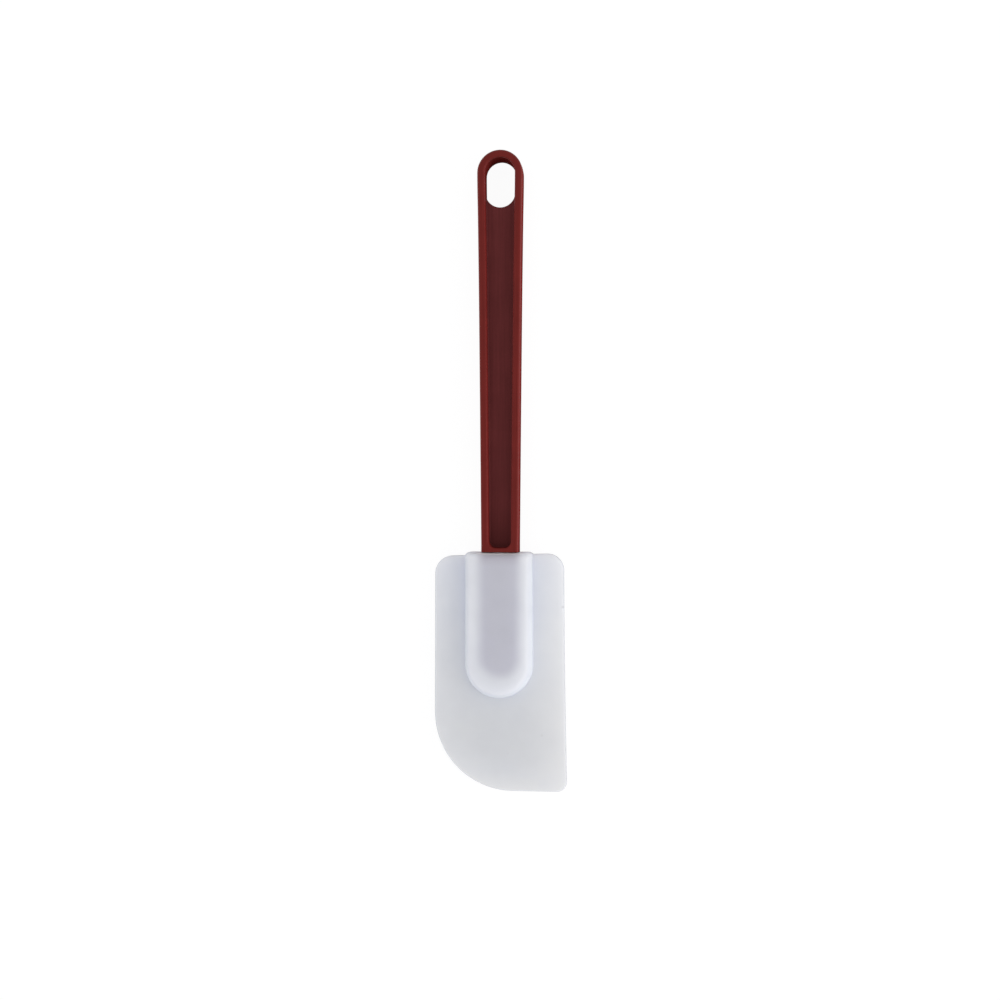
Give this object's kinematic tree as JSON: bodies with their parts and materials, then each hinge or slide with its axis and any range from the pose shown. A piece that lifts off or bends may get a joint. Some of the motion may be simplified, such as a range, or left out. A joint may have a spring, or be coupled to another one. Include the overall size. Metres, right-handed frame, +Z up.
{
  "type": "silicone spatula",
  "caption": "Kitchen spatula: a flexible silicone blade with one long round heel, socketed on the tang of a stiff I-section nylon handle that has an oblong hanging hole.",
  "frame": {"origin": "on the surface that the spatula lies on, under the middle of its whole length and width", "axes": "+Y from the working edge to the hanging end, +X to the right with the long round heel of the blade on the left, +Z up out of the face that shows"},
  "size_m": [0.0528, 0.254, 0.014],
  "materials": {
    "red_nylon": "dark red glass-filled nylon, moulded, satin on the rims and matte in the channel",
    "white_silicone": "white translucent silicone, moulded, smooth satin"
  },
  "bodies": {
    "handle": {"handle": "red_nylon"},
    "blade": {"blade": "white_silicone"}
  },
  "joints": [
    {"name": "blade_pull_off", "type": "slide", "parent": "handle", "child": "blade", "axis": [0, -1, 0], "range_m": [0, 0.058]}
  ]
}
